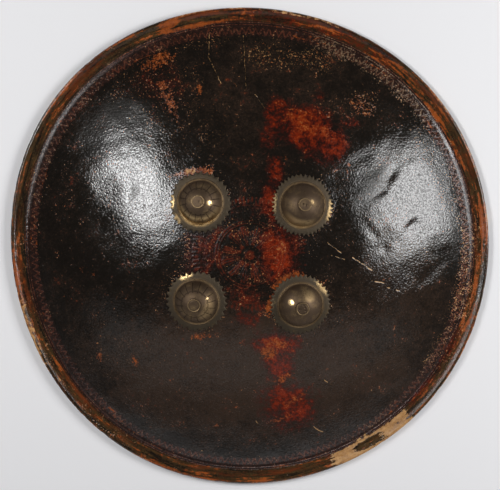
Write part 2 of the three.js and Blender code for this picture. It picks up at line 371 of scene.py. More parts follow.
def paint(piece, name, values):
    """Keeps a value for each vertex under a name that the material reads."""
    layer = piece.data.attributes.new(name, "FLOAT", "POINT")
    layer.data.foreach_set("value", np.asarray(values, np.float32))


def smooth(value, low, high):
    share = np.clip((value - low) / (high - low), 0, 1)
    return share * share * (3 - 2 * share)


def ridge(distance, half_width):
    """A rounded ridge: 1 on its line and 0 at half_width from it."""
    near = np.clip(np.abs(distance) / half_width, 0, 1)
    return (1 - near ** 2) ** 1.5


def ripples(x, y, wavelength, seed, waves=9):
    """A smooth random surface of about unit height, made of waves in all directions."""
    random = np.random.default_rng(seed)
    total = np.zeros_like(x)
    for _ in range(waves):
        heading, phase, stretch = random.uniform(0, TURN), random.uniform(0, TURN), random.uniform(0.7, 1.5)
        along = x * math.cos(heading) + y * math.sin(heading)
        total += np.cos(TURN * along / (wavelength * stretch) + phase)
    return total / math.sqrt(waves / 2)


def patch(x, y, mark):
    """Distance from the middle of an oval mark, as a share of its size: 0 in the middle, 1 on its edge."""
    mark_x, mark_y, half_length, half_width, turn = mark
    cos, sin = math.cos(math.radians(turn)), math.sin(math.radians(turn))
    off_x, off_y = x - mark_x * MM, y - mark_y * MM
    along = (off_x * cos + off_y * sin) / (half_length * MM)
    return np.hypot(along, (off_y * cos - off_x * sin) / (half_width * MM))


def boss_axes(hide):
    """For each boss its turn around Z and its lean from Z, read from where its washer sits in the frame."""
    axes = {}
    for corner in CORNERS:
        low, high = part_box(f"washer_{corner}")
        middle = (low + high) / 2
        lean = math.atan2(math.hypot(middle.x, middle.y), middle.z - sphere_height(hide))
        axes[corner] = (math.atan2(middle.y, middle.x), lean)
    return axes


def seat_of(hide, turn, lean):
    """The place of a boss: its origin on the face of the hide and its Z off the hide."""
    spin = Euler((0, lean, turn), "XYZ").to_matrix()
    origin = Vector((0, 0, sphere_height(hide))) + spin @ Vector((0, 0, front_radius(hide)))
    return Matrix.Translation(origin) @ spin.to_4x4()


def put(piece, place):
    """Carries a piece made at the origin to its place and applies that, so its object stays at the origin."""
    deselect()
    piece.select_set(True)
    bpy.context.view_layer.objects.active = piece
    piece.matrix_world = place
    bpy.ops.object.transform_apply(location=True, rotation=True, scale=True)


def add_node(tree, kind, inputs=None, **settings):
    """Adds a node, makes its settings and fills its inputs with values or other nodes' outputs."""
    node = tree.nodes.new(kind)
    for name, value in settings.items():
        setattr(node, name, value)
    for key, value in (inputs or {}).items():
        if isinstance(value, bpy.types.NodeSocket):
            tree.links.new(value, node.inputs[key])
        else:
            node.inputs[key].default_value = value
    return node


def calc(tree, operation, *values, **settings):
    """The result of a Math node on values or on other nodes' outputs."""
    node = add_node(tree, "ShaderNodeMath", dict(enumerate(values)), operation=operation, **settings)
    return node.outputs[0]


def vector_calc(tree, operation, *values):
    """The outputs of a Vector Math node on values or on other nodes' outputs."""
    return add_node(tree, "ShaderNodeVectorMath", dict(enumerate(values)), operation=operation).outputs


def add_up(tree, base, layers):
    """A base with each layer, times its share, added to it."""
    for layer, share in layers:
        base = calc(tree, "MULTIPLY_ADD", layer, share, base)
    return base


def remap(tree, value, low, high, start=0.0, end=1.0, **settings):
    """Turns low to high into start to end."""
    return add_node(tree, "ShaderNodeMapRange", {
        "Value": value, "From Min": low, "From Max": high, "To Min": start, "To Max": end},
        **settings).outputs["Result"]


def mix(tree, factor, first, second, kind="RGBA"):
    """The first colour or value where the factor is 0, and the second where it is 1."""
    return add_node(tree, "ShaderNodeMix", {
        "Factor": factor, "A": first, "B": second}, data_type=kind).outputs["Result"]


def painted(tree, name, output="Fac"):
    """What is kept for each vertex under a name."""
    return add_node(tree, "ShaderNodeAttribute", attribute_name=name).outputs[output]


def noise(tree, coords, size, detail, roughness=0.6, distortion=0.0):
    """Noise whose largest lumps are about size across, in metres. Its values lie around a half."""
    return add_node(tree, "ShaderNodeTexNoise", {
        "Vector": coords, "Scale": 1 / size, "Detail": detail, "Roughness": roughness,
        "Distortion": distortion}).outputs["Fac"]


def worn(tree, amount, layers, low, high):
    """A ragged mask: 0 where an amount plus its noise is under low and 1 where it is over high."""
    shift = sum(share for layer, share in layers) / 2
    total = add_up(tree, amount, layers)
    return remap(tree, total, low + shift, high + shift, interpolation_type="SMOOTHSTEP")


def new_material(name):
    """An empty material with its output and shader, ready for the rest."""
    material = bpy.data.materials.new(name)
    material.use_nodes = True
    material.node_tree.nodes.clear()
    shader = add_node(material.node_tree, "ShaderNodeBsdfPrincipled")
    add_node(material.node_tree, "ShaderNodeOutputMaterial", {"Surface": shader.outputs["BSDF"]})
    return material, material.node_tree, shader


def link_surface(tree, shader, tone, rough, height):
    """Gives the shader its colour, its roughness and its relief, whose height is in metres."""
    bump = add_node(tree, "ShaderNodeBump", {"Height": height, "Distance": 1.0, "Strength": 1.0})
    for name, output in (("Base Color", tone), ("Roughness", rough), ("Normal", bump.outputs["Normal"])):
        tree.links.new(output, shader.inputs[name])


def dress(piece, material, node):
    piece.data.materials.clear()
    piece.data.materials.append(material)
    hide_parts(node)
    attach(piece, "root")


def dress_at(piece, place, material, node):
    put(piece, place)
    dress(piece, material, node)


# Hide
def channel_arc(hide, depth, angles):
    radius = hide.channel_fillet + depth
    middle_out, middle_up = hide.lip_radius - hide.rim_width, hide.thickness + hide.channel_fillet
    return [(middle_out - radius * math.sin(a), middle_up - radius * math.cos(a)) for a in angles]


def dome_line(hide, depth, outs):
    radius = front_radius(hide) - depth
    return [(out, sphere_height(hide) + math.sqrt(radius ** 2 - out ** 2)) for out in outs]


def hide_profile(hide, roundel):
    """From the middle of the inside, out along the inside, round the lip and back along the face."""
    edge = math.asin((hide.lip_radius - hide.rim_width) / (front_radius(hide) + hide.channel_fillet))
    face_end = front_radius(hide) * math.sin(edge)
    inside_end = (front_radius(hide) - hide.thickness) * math.sin(edge)
    rest_angle = math.asin(hide.rest_width / 2 / (hide.channel_fillet + hide.thickness))
    inside = dome_line(hide, hide.thickness, stepped(0, inside_end, 6.5 * MM))
    under = channel_arc(hide, hide.thickness, stepped(edge, rest_angle, 0.09))
    rest = [(out, 0.0) for out in stepped(
        hide.lip_radius - hide.rim_width - hide.rest_width / 2,
        hide.lip_radius - hide.rim_width + hide.rest_width / 2, 2 * MM)]
    under += rest + channel_arc(hide, hide.thickness, stepped(-rest_angle, -hide.upturn, 0.09))
    half = hide.thickness / 2
    (start_out, start_up), = channel_arc(hide, half, [-hide.upturn])
    lip_out = hide.lip_radius - half
    lip_up = start_up + (lip_out - start_out) * math.tan(hide.upturn)
    lip = [(lip_out + half * math.cos(a), lip_up + half * math.sin(a))
           for a in stepped(hide.upturn - math.pi / 2, hide.upturn + math.pi / 2, 0.32)]
    band_start, = channel_arc(hide, 0, [-hide.upturn])
    band_end = (lip_out - half * math.sin(hide.upturn), lip_up + half * math.cos(hide.upturn))
    band = [(band_end[0] + (band_start[0] - band_end[0]) * share,
             band_end[1] + (band_start[1] - band_end[1]) * share - 4 * hide.hollow * share * (1 - share))
            for share in stepped(0, 1, 0.1)]
    channel = channel_arc(hide, 0, stepped(-hide.upturn, edge, 0.08))
    outs = stepped(face_end, BORDER_START, 1.1 * MM) + stepped(BORDER_START, ROUNDEL_END, 2.9 * MM)
    face = dome_line(hide, 0, outs + stepped(ROUNDEL_END, 0, 0.9 * MM) + [0])
    return inside + under + lip + band + channel + face


def wander(around):
    """How far the shield stands out of its round at an angle, in metres, as the frame has it."""
    return sum(swell * MM * np.cos(waves * (around - math.radians(peak))) for waves, swell, peak in WANDER)


def across(roundel_out, around, count):
    """Distance along the ring from the middle of the nearest of so many equal sectors."""
    return roundel_out * TURN / count * (np.mod(around * count / TURN, 1) - 0.5)


def leaf_form(side, along, half_width):
    """A rounded leaf: half_width wide at its middle, narrow where along is 0 and round where it is 1."""
    inside = (along > 0) & (along < 1)
    width = half_width * np.sqrt(np.clip(1 - np.clip((along - 0.62) / 0.38, 0, 1) ** 2.5, 0, 1))
    return inside * np.sqrt(np.clip(1 - (side / np.maximum(width, 0.05 * MM)) ** 2, 0, 1))


def carving(roundel, out, around):
    """Height of the roundel's deep tooling and of its shallow tooling, each as a share of its relief."""
    button = ridge(np.maximum(out - roundel.button * 0.55, 0), roundel.button * 0.5)
    along = (out - roundel.petal_start) / (roundel.petal_end - roundel.petal_start)
    side = across(out, around, roundel.petals)
    half = 0.93 * math.pi * out / roundel.petals
    petal = leaf_form(side, along, half)
    veins = sum(ridge(side - lane * half, 0.75 * MM) for lane in (-0.5, 0, 0.5)) * smooth(along, 0.1, 0.3)
    petal = petal * (1 - 0.6 * np.clip(veins, 0, 1))
    ring = ridge(np.abs(out - roundel.ring) - roundel.ring_width * 0.28, roundel.ring_width * 0.24)
    deep = np.maximum.reduce([button, petal, ring])
    off, bud_side = out - roundel.bud, across(roundel.bud, around, roundel.petals)
    bud = ridge(np.hypot(off / BUD_HALF_LENGTH, bud_side / BUD_HALF_WIDTH), 1)
    dot = ridge(np.hypot(off, np.abs(bud_side) - DOT_OFF) / DOT_RADIUS, 1)
    cross = np.maximum(*(ridge(np.abs(bud_side) - CROSS_OFF + slant * off, CROSS_HALF_WIDTH)
                         for slant in (-CROSS_SLANT, CROSS_SLANT)))
    cross = cross * (np.abs(off) < CROSS_REACH)
    thin = ridge(out - roundel.outer_ring, OUTER_RING_HALF_WIDTH)
    leaf_start = roundel.outer_ring + 1.5 * MM
    along = (out - leaf_start) / (roundel.fringe - leaf_start)
    leaf = leaf_form(across(out, around, roundel.leaves), along, LEAF_HALF_WIDTH)
    return deep, np.maximum.reduce([bud, dot, 0.8 * cross, thin, leaf])


def wear_amounts(x, y, out, around):
    """For each kind of wear how much of it there is at each point, 0 to about 1."""
    amounts = {kind: np.zeros_like(x) for kind in {**WEAR, **RIM_WEAR}}
    for kind, marks in WEAR.items():
        for *mark, strength in marks:
            amounts[kind] = np.maximum(amounts[kind], strength * (1 - smooth(patch(x, y, mark), 0.35, 1.5)))
    degrees = np.degrees(around) % 360
    for kind, stretches in RIM_WEAR.items():
        for first, last, inner, outer, strength in stretches:
            middle, half = (first + last) / 2, (last - first) / 2
            ends = 1 - smooth(np.abs((degrees - middle + 180) % 360 - 180) - half, -2.5, 2.5)
            band = smooth(out, (inner - 2) * MM, (inner + 2) * MM)
            band = band * (1 - smooth(out, (outer - 1) * MM, (outer + 3) * MM))
            amounts[kind] = np.maximum(amounts[kind], strength * ends * band)
    return amounts


def sculpt_hide(piece, hide, roundel):
    """Lays the tooling, the dents and the out-of-round on the smooth shell, and paints where it is worn."""
    places, normals = points_of(piece), normals_of(piece)
    x, y = places[:, 0].copy(), places[:, 1].copy()
    out, around = np.hypot(x, y), np.arctan2(y, x)
    face = smooth(normals[:, 2], 0.0, 0.3)
    channel = hide.lip_radius - hide.rim_width
    clear = np.ones_like(out)
    for turn, lean in boss_axes(hide).values():
        centre = seat_of(hide, turn, lean).translation
        clear = np.minimum(clear, smooth(np.hypot(x - centre.x, y - centre.y), FLANGE_REACH, FLANGE_CLEAR))
    deep, shallow = carving(roundel, out, around)
    relief = np.maximum(deep * roundel.relief, shallow * roundel.shallow * clear)
    calm = smooth(out, SWELLS_START, SWELLS_FULL) * (1 - smooth(out, SWELLS_FADE, SWELLS_END))
    calm = calm * (0.2 + 0.8 * clear)
    swell = sum(rise * MM * ripples(x, y, wavelength, seed, waves) for rise, wavelength, seed, waves in SWELLS)
    for *mark, depth in DENTS:
        swell -= depth * MM * np.exp(-patch(x, y, mark) ** 2 * 1.4)
    push = face * relief + calm * swell
    places += normals * (np.where(normals[:, 2] > 0, 1, -1) * push)[:, None]
    share = smooth(out, channel - hide.wander_width, channel)
    lip = smooth(out, hide.lip_radius - LIP_FADE, hide.lip_radius)
    chips = np.clip(ripples(hide.lip_radius * around, out * 0, 0.021, 3) - 0.9, 0, 1)
    grow = share * wander(around) - lip * LIP_INSET * (1 + chips)
    places[:, 0] += grow * np.cos(around)
    places[:, 1] += grow * np.sin(around)
    move_points(piece, places)
    band = smooth(out, channel - 1 * MM, channel + 2 * MM)
    wear = wear_amounts(x, y, out, around)
    kept = 1 - wear.pop("kept")
    for kind, on_band, on_lip in (("red", 0.3, 0.1), ("orange", 0.22, 0.2), ("tan", 0.0, 0.42)):
        wear[kind] = np.maximum(wear[kind], on_band * band + on_lip * lip) * kept
    for kind, amount in wear.items():
        paint(piece, kind, amount * (1 if kind == "tan" else face))
    paint(piece, "rubbed", face * np.maximum(deep, 0.9 * shallow * clear) * 0.8)
    border = smooth(out, BORDER_START, BORDER_FULL) * (1 - smooth(out, BORDER_FADE, BORDER_END))
    paint(piece, "tooled", 0.7 * face * border)
    paint(piece, "out", out)
    paint(piece, "face", face)
    paint(piece, "band", band * face)
    flow = np.column_stack([out, hide.lip_radius / 9 * np.cos(around), hide.lip_radius / 9 * np.sin(around)])
    layer = piece.data.attributes.new("flow", "FLOAT_VECTOR", "POINT")
    layer.data.foreach_set("vector", flow.astype(np.float32).ravel())


def scratch_mask(tree, coords):
    """1 on the scratches and 0 off them, from the distance to each one's line."""
    flat = vector_calc(tree, "MULTIPLY", coords, (1, 1, 0))[0]
    wobble = add_node(tree, "ShaderNodeTexNoise", {"Vector": flat, "Scale": 160.0, "Detail": 2.0})
    sway = (0.0024, 0.0024, 0.0), (-0.0012, -0.0012, 0.0)
    shift = vector_calc(tree, "MULTIPLY_ADD", wobble.outputs["Color"], *sway)[0]
    flat = vector_calc(tree, "ADD", flat, shift)[0]
    mask = 0.0
    for x0, y0, x1, y1, width in SCRATCHES:
        start, run = Vector((x0, y0, 0)) * MM, Vector((x1 - x0, y1 - y0, 0)) * MM
        offset = vector_calc(tree, "SUBTRACT", flat, start)[0]
        share = vector_calc(tree, "DOT_PRODUCT", offset, run / run.length_squared)["Value"]
        share = add_node(tree, "ShaderNodeClamp", {"Value": share}).outputs[0]
        nearest = add_node(tree, "ShaderNodeVectorMath", {0: run, "Scale": share}, operation="SCALE")
        far = vector_calc(tree, "DISTANCE", offset, nearest.outputs[0])["Value"]
        mask = calc(tree, "MAXIMUM", mask, remap(tree, far, width * 0.2 * MM, width * 0.6 * MM, 1.0, 0.0))
    return mask


def border_mask(tree, coords, out, crumb):
    """1 on the strokes of the tooled border, a zigzag with two thin lines outside it, and 0 off them."""
    parts = add_node(tree, "ShaderNodeSeparateXYZ", {"Vector": coords}).outputs
    repeats = calc(tree, "MULTIPLY", calc(tree, "ARCTAN2", parts["Y"], parts["X"]), ZIGZAGS / TURN)
    zigzag = calc(tree, "PINGPONG", calc(tree, "MULTIPLY_ADD", crumb, 0.7, repeats), 0.5)
    height = remap(tree, out, ZIGZAG_START, ZIGZAG_END, 0.0, 0.5, clamp=False)
    gap = calc(tree, "ABSOLUTE", calc(tree, "SUBTRACT", zigzag, height))
    strokes = remap(tree, gap, 0.06, 0.17, 1.0, 0.0)
    mask = calc(tree, "MULTIPLY", strokes, calc(tree, "COMPARE", height, 0.25, 0.3))
    for radius in BORDER_LINES:
        mask = calc(tree, "MAXIMUM", mask, calc(tree, "COMPARE", out, radius, LINE_HALF_WIDTH))
    return mask


def hide_material(colours):
    """Rawhide, moulded wet over a form and lacquered black over a red coat. The lacquer is glossy over a
    fine pebbled grain, which breaks its highlights into sparks, and is worn to red, orange and bare hide."""
    material, tree, shader = new_material("lacquered_rawhide")
    coords = add_node(tree, "ShaderNodeTexCoord").outputs["Object"]
    flow = painted(tree, "flow", "Vector")
    amount = {name: painted(tree, name) for name in (
        "red", "orange", "tan", "fleck", "dust", "dull", "thin", "rubbed", "tooled", "out", "face", "band")}
    cloud = noise(tree, coords, 42 * MM, 6.0)
    mottle = noise(tree, coords, 15 * MM, 8.0, 0.7, 0.4)
    crumb = noise(tree, coords, 4.2 * MM, 5.0, 0.65)
    grain = noise(tree, coords, 1.8 * MM, 1.0, 0.6)
    speck = noise(tree, coords, 1.7 * MM, 3.0, 0.7)
    streak = noise(tree, flow, 5 * MM, 7.0, 0.72)
    stain = noise(tree, flow, 9 * MM, 5.0, 0.65)
    rim = remap(tree, amount["out"], RIM_START, RIM_FULL)
    drift = mix(tree, rim, mottle, streak, "FLOAT")
    ragged = mix(tree, rim, speck, streak, "FLOAT")

    # Lacquer, browner where it is thin, with the border tooled into it, and the rim's streaked band
    thin = worn(tree, amount["thin"], [(cloud, 0.7), (mottle, 0.7), (crumb, 0.6), (grain, 0.5)], -0.1, 0.6)
    border = border_mask(tree, coords, amount["out"], crumb)
    tooled = worn(tree, amount["tooled"], [(mottle, 0.8), (crumb, 1.0), (speck, 1.0)], 0.2, 1.0)
    rubbed = worn(tree, 0.6, [(cloud, 1.0), (mottle, 2.0), (speck, 2.4)], 0.1, 1.0)
    rubbed = calc(tree, "MULTIPLY", calc(tree, "MULTIPLY", border, rubbed), amount["face"])
    streaks = worn(tree, 0.5, [(streak, 2.6), (speck, 1.2)], 0.1, 0.9)
    stains = worn(tree, 0.4, [(stain, 2.8), (crumb, 0.8)], 0.3, 1.1)
    band_tone = mix(tree, stains, mix(tree, streaks, colours.lacquer, colours.band), colours.rust)

    # Red coat, deep at the edges of its patches and light in their middles
    layers = [(cloud, 0.7), (drift, 1.9), (crumb, 1.4), (speck, 0.8)]
    red = worn(tree, amount["red"], layers, 0.22, 0.95)
    red_tone = mix(tree, worn(tree, amount["red"], layers, 0.5, 1.35), colours.red, colours.red_light)
    rub = worn(tree, amount["rubbed"], [(cloud, 1.4), (mottle, 2.0), (crumb, 1.8)], 0.3, 1.0)

    # Dust, stained hide, flecks, and bare hide with the scratches
    dust = worn(tree, amount["dust"], [(speck, 3.0), (mottle, 1.4), (border, 0.3)], 0.4, 0.8)
    orange = worn(tree, amount["orange"], [(drift, 1.8), (crumb, 1.4), (ragged, 2.2)], 0.46, 0.76)
    pores = worn(tree, 0.5, [(drift, 2.4), (crumb, 1.6)], 0.1, 0.9)
    orange_tone = mix(tree, amount["band"], colours.rusty, colours.orange)
    orange_tone = mix(tree, pores, colours.orange_deep, orange_tone)
    fleck = worn(tree, amount["fleck"], [(speck, 5.0), (mottle, 2.0)], 0.96, 1.4)
    fleck_tone = mix(tree, worn(tree, 0.5, [(crumb, 3.0)], 0.3, 0.8), colours.fleck, colours.tan)
    broken = worn(tree, 0.5, [(crumb, 2.4), (mottle, 1.0)], 0.35, 0.65)
    scratch = calc(tree, "MULTIPLY", scratch_mask(tree, coords), broken)
    scratch = calc(tree, "MULTIPLY", scratch, amount["face"])
    bare = worn(tree, amount["tan"], [(drift, 1.6), (crumb, 0.9)], 0.46, 0.6)
    bare = calc(tree, "MAXIMUM", bare, scratch)
    dirt = worn(tree, 0.5, [(streak, 1.2), (crumb, 1.2)], 0.1, 0.9)
    tan_tone = mix(tree, scratch, mix(tree, dirt, colours.tan_deep, colours.tan), colours.tan)
    inside = calc(tree, "SUBTRACT", calc(tree, "SUBTRACT", 1.0, amount["face"]), bare, use_clamp=True)
    worn_inside = worn(tree, 0.5, [(cloud, 1.2), (crumb, 0.9)], 0.1, 0.9)
    inside_tone = mix(tree, worn_inside, colours.inside, colours.inside_light)

    # Each coat lies over those before it
    tone = mix(tree, thin, colours.lacquer, colours.lacquer_brown)
    coats = (
        (tooled, colours.tooled), (rubbed, colours.border), (amount["band"], band_tone), (red, red_tone),
        (rub, colours.stroke), (dust, colours.dust), (orange, orange_tone), (fleck, fleck_tone),
        (bare, tan_tone), (inside, inside_tone))
    for mask, coat in coats:
        tone = mix(tree, mask, tone, coat)

    # Roughness 0.1 to 0.16 on whole lacquer, about 0.5 on bare hide; specks break up the shine
    gloss = worn(tree, 0.0, [(mottle, 1.0), (crumb, 1.0)], -0.3, 0.5)
    rough = add_up(tree, 0.1, [
        (gloss, 0.06), (amount["dull"], 0.25), (red, 0.02), (dust, 0.15), (orange, 0.12), (fleck, 0.15),
        (bare, 0.35), (inside, 0.35)])
    sparks = worn(tree, 0.0, [(speck, 1.0)], -0.16, 0.14)
    specular = add_up(tree, 0.1, [(mottle, 0.3), (sparks, 0.55)])
    specular = calc(tree, "MULTIPLY", specular, calc(tree, "MULTIPLY_ADD", amount["dull"], -0.85, 1.0))
    tree.links.new(specular, shader.inputs["Specular IOR Level"])

    # Pebbles 1.8 mm apart and about 0.09 mm high; the tooled strokes and the worn places are sunk
    rises = (
        (grain, 0.18), (crumb, 0.02), (cloud, 0.15), (border, -0.07), (red, -0.01), (dust, -0.03),
        (orange, -0.02), (fleck, -0.04), (bare, -0.1))
    height = add_up(tree, 0.0, [(layer, rise * MM) for layer, rise in rises])
    link_surface(tree, shader, tone, rough, height)
    return material


class DHAL_OT_hide(bpy.types.Operator):
    """Model the moulded hide with its tooling, dents and worn lacquer"""
    bl_idname = "dhal.hide"
    bl_label = "Hide"

    def execute(self, context):
        hide, roundel = context.scene.dhal_hide, context.scene.dhal_roundel
        piece = spun("moulded_hide", hide_profile(hide, roundel), hide.steps)
        sculpt_hide(piece, hide, roundel)
        dress(piece, hide_material(context.scene.dhal_hide_colours), "hide_shell")
        return {"FINISHED"}


# Bosses
# Of each boss: teeth, depth of the dome's engraving in mm, and the seed of its hand-cut unevenness; of its
# rivet's head: depth of the ring and of the dots in mm
BOSSES = {
    "top_right": (44, 0.0, 2, 0.1, 0.35),
    "top_left": (32, 0.28, 3, 0.1, 0.12),
    "bottom_left": (32, 0.12, 4, 0.3, 0.0),
    "bottom_right": (40, 0.0, 5, 0.3, 0.3),
}

# Spots of each boss rubbed bright and polished, partly painted highlight where they sit on the lamps' glints
# and, low on the top left dome, on the pale walls' reflection: bearing from above in degrees, distance from
# the axis, half length around and half length out from the axis in mm, and strength
RUBS_AND_GLINTS = {
    "top_left": (
        (-5, 11.6, 3.2, 3.2, 1.0), (262, 20.5, 30.0, 5.5, 0.95), (180, 30.0, 9.0, 4.0, 0.9),
        (215, 30.0, 8.0, 4.0, 0.6),
    ),
    "top_right": (
        (175, 30.0, 12.0, 4.0, 0.6), (-10, 30.0, 14.0, 4.0, 0.7), (255, 20.0, 20.0, 5.0, 0.7),
        (20, 8.5, 3.0, 2.0, 0.7),
    ),
    "bottom_left": (
        (330, 15.0, 14.0, 6.0, 0.4), (112, 29.0, 9.0, 4.5, 1.0), (27, 14.5, 1.8, 1.8, 0.9),
    ),
    "bottom_right": (
        (60, 14.0, 8.0, 6.0, 0.4), (152, 12.7, 3.4, 3.4, 1.0), (40, 29.0, 12.0, 4.0, 0.7),
        (175, 29.0, 8.0, 4.0, 0.4),
    ),
}

# Engraving of the domes and chasing of the rivets' heads
DOME_LANES = 16
SCALLOP_RADIUS, SCALLOP_SWING = 13 * MM, 1.1 * MM
GROOVE_HALF_WIDTH = 0.7 * MM
HEAD_RING, HEAD_RING_HALF_WIDTH = 5.4 * MM, 0.6 * MM
HEAD_DOTS, HEAD_DOT_SPREAD = 5, 2.2 * MM


def boss_profile(hide, boss):
    """Up over the flange, the beads and the dome to the rivet's hole, and back down the inside."""
    flange_top = boss.gap + boss.sheet
    seat = boss.head + 0.4 * MM
    below = (boss.dome ** 2 - seat ** 2 - boss.rise ** 2) / (2 * boss.rise)
    radius = math.hypot(boss.dome, below)
    foot, top = math.atan2(boss.dome, below), math.atan2(seat, below + boss.rise)
    hole = boss.shank + boss.gap
    edge = boss.dome + boss.bead + boss.flange
    inner = boss.dome - boss.sheet

    def side(depth, step):
        return [((radius - depth) * math.sin(a), flange_top - below + (radius - depth) * math.cos(a))
                for a in stepped(foot, top, step)]

    def drooped(out):
        outer = max(0, (out - boss.dome - boss.bead) / boss.flange)
        return flange_top - boss.droop * outer ** 1.7

    under = [(out, boss.gap) for out in stepped(inner, edge - 0.1 * MM, 1.2 * MM)]
    rim = [(edge, boss.gap + 0.1 * MM), (edge, drooped(edge) - 0.1 * MM)]
    flange = [(out, drooped(out)) for out in stepped(edge - 0.1 * MM, boss.dome + boss.bead, 0.55 * MM)]
    beads = [(out, flange_top + boss.bead_height * abs(math.sin(TURN * (out - boss.dome) / boss.bead)))
             for out in stepped(boss.dome + boss.bead, boss.dome, 0.1 * MM)]
    dome = side(0, 0.045)
    top_flat = [(out, flange_top + boss.rise) for out in stepped(seat, hole, 1.3 * MM)]
    bore = [(hole, flange_top + boss.rise - 0.2 * MM), (hole, flange_top + boss.rise - boss.sheet)]
    inside = side(boss.sheet, 0.12)[::-1]
    return under + rim + flange + beads + dome + top_flat + bore + inside + [(inner, boss.gap)]


def shape_boss(piece, hide, boss, corner, turned):
    """Cuts the teeth, engraves the dome, paints its rubbed spots with their painted highlights, and bends it
    all to the hide's curve.
    """
    teeth, engraving, seed = BOSSES[corner][:3]
    places = points_of(piece)
    out, around = np.hypot(places[:, 0], places[:, 1]), np.arctan2(places[:, 1], places[:, 0])
    up = places[:, 2].copy()
    random = np.random.default_rng(seed)
    edge = boss.dome + boss.bead + boss.flange
    root = edge - 1.45 * boss.tooth
    turn = np.mod(around / TURN, 1) * teeth
    tooth = np.floor(turn).astype(int) % teeth
    cut = 1 - np.abs(1 - 2 * np.mod(turn, 1)) ** 1.5
    depth = boss.tooth * (1 + random.uniform(-0.25, 0.25, teeth)[tooth]) * cut
    depth += 0.25 * MM * ripples(edge * around, out * 0, 0.03, seed)
    share = np.clip((out - root) / (edge - root), 0, 1)
    new_out = out - share * np.clip(depth, 0, None)
    flange_top = boss.gap + boss.sheet
    on_dome = (out < boss.dome - 0.6 * MM) & (up > flange_top) & (out > boss.head + 1.2 * MM)
    lanes = ridge(across(out, around, DOME_LANES), GROOVE_HALF_WIDTH)
    ring_out = SCALLOP_RADIUS + SCALLOP_SWING * np.abs(np.cos(around * DOME_LANES / 2))
    lanes = lanes * (out > ring_out) * (out < boss.dome - 1.6 * MM)
    pattern = np.maximum(lanes, ridge(out - ring_out, GROOVE_HALF_WIDTH))
    up -= engraving * MM * pattern * on_dome
    hammered = 0.05 * MM * ripples(places[:, 0], places[:, 1], 0.012, seed + 20)
    up += hammered * (up > flange_top + boss.gap) * (out > boss.head + boss.gap)
    paint(piece, "groove", np.clip(pattern * on_dome * (engraving > 0), 0, 1))
    # Painted highlight along the crests of the beads, then the listed spots: rubbed bright, and partly painted
    # highlight
    shine = 0.3 * ridge(out - boss.dome - boss.bead / 2, boss.bead / 2)
    for bearing, distance, half_around, half_out, strength in RUBS_AND_GLINTS[corner]:
        off = np.mod(around + turned - math.radians(bearing) + math.pi, TURN) - math.pi
        near = np.hypot(off * distance / half_around, (out - distance * MM) / (half_out * MM))
        shine = np.maximum(shine, strength * (1 - smooth(near, 0.5, 1.2)))
    paint(piece, "shine", shine)
    paint(piece, "out", out)
    up -= sag(front_radius(hide), new_out)
    move_points(piece, np.column_stack([new_out * np.cos(around), new_out * np.sin(around), up]))


def brass_material(name, colours, green_from, roughness):
    """Sheet brass, raised over a stake and never lacquered. Handling keeps the domes bright in streaks, and
    brown and olive patina stays in the grooves and on the flanges. Its shine spots are brighter brass, partly
    painted highlight on the lamps' glints and the pale walls' reflection."""
    material, tree, shader = new_material(name)
    coords = add_node(tree, "ShaderNodeTexCoord").outputs["Object"]
    out, shine, groove = (painted(tree, name) for name in ("out", "shine", "groove"))
    cloud = noise(tree, coords, 11 * MM, 6.0, 0.65)
    grit = noise(tree, coords, 1.9 * MM, 4.0, 0.75)
    green = remap(tree, out, green_from - 1.2 * MM, green_from + 1.2 * MM)
    # Brighter brass in rubbed streaks and at the shine spots, which are partly painted highlight
    rubbed = calc(tree, "MAXIMUM", worn(tree, 0.3, [(cloud, 1.8), (grit, 0.9)], 0.2, 1.2), shine)
    # On the flanges, brighter brass at the shine spots: painted highlight where the teeth catch the lamps
    flange_rub_and_glint = worn(tree, shine, [(cloud, 1.4), (grit, 2.6)], 0.1, 1.1)
    dome_tone = mix(tree, rubbed, colours.aged, colours.bright)
    tone = mix(tree, green, dome_tone, mix(tree, flange_rub_and_glint, colours.green, colours.bright))
    specks = worn(tree, 0.0, [(grit, 2.2), (cloud, 0.9)], 0.05, 0.42)
    dirt = calc(tree, "MULTIPLY_ADD", specks, 0.6, calc(tree, "MULTIPLY", groove, 0.7))
    dirt = add_node(tree, "ShaderNodeClamp", {"Value": dirt, "Max": 0.85}).outputs[0]
    tone = mix(tree, dirt, tone, colours.dark)
    shader.inputs["Metallic"].default_value = 1.0
    polish = calc(tree, "POWER", shine, 2.5)
    rough = add_up(tree, roughness - 0.11, [(cloud, 0.22), (dirt, 0.15), (polish, -0.36)])
    # Pits about 0.05 mm deep on the domes and 0.2 mm on the flanges
    pits = calc(tree, "MULTIPLY_ADD", green, 0.2 * MM, 0.07 * MM)
    link_surface(tree, shader, tone, rough, calc(tree, "MULTIPLY", pits, grit))
    return material


class DHAL_OT_bosses(bpy.types.Operator):
    """Model the four hollow brass bosses with their toothed flanges"""
    bl_idname = "dhal.bosses"
    bl_label = "Bosses"

    def execute(self, context):
        hide, boss = context.scene.dhal_hide, context.scene.dhal_boss
        brass = brass_material("raised_brass", context.scene.dhal_brass_colours, boss.dome + boss.bead, 0.6)
        for corner, (turn, lean) in boss_axes(hide).items():
            piece = spun(f"brass_boss_{corner}", boss_profile(hide, boss), BOSSES[corner][0] * 10)
            shape_boss(piece, hide, boss, corner, turn)
            dress_at(piece, seat_of(hide, turn, lean), brass, f"boss_{corner}")
        return {"FINISHED"}


# Rivets and washers
def washer_top(hide, boss):
    return -hide.thickness - sag(front_radius(hide) - hide.thickness, boss.washer) - boss.gap


